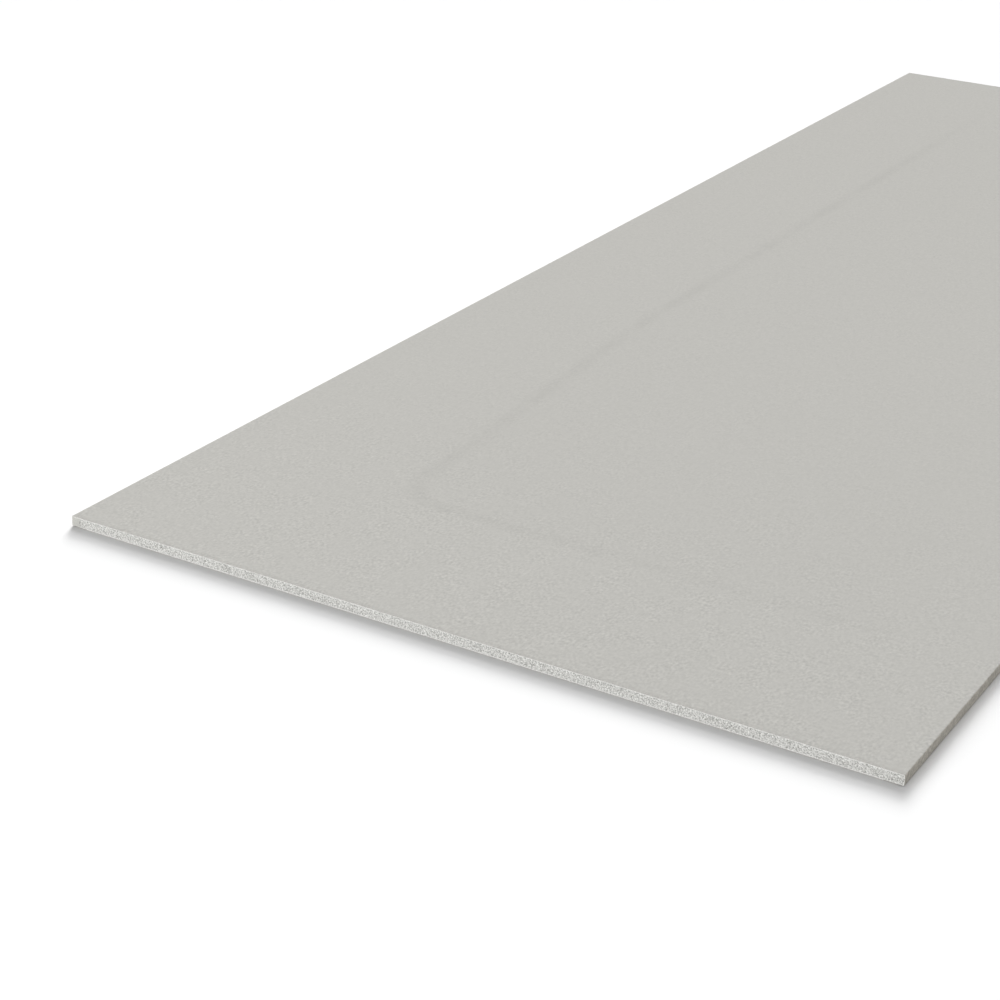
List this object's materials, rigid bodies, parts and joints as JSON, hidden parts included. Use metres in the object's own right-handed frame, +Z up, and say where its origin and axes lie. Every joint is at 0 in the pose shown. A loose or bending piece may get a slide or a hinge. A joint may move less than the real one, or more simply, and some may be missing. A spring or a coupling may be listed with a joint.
{
  "type": "ceiling board",
  "caption": "Flat gypsum ceiling board, faced in paper that wraps both long edges onto the back, with plain square-cut ends that show the core.",
  "frame": {"origin": "middle of the board's footprint, on the plane that its back rests on", "axes": "+Z up out of the face, +Y along the length, +X across the width to a papered long edge"},
  "size_m": [1.2, 3, 0.015],
  "materials": {
    "gypsum": "matte",
    "face_paper": "matte",
    "back_paper": "matte"
  },
  "bodies": {
    "root": {"gypsum_core": "gypsum", "face_paper": "face_paper", "back_paper": "back_paper"}
  },
  "joints": []
}
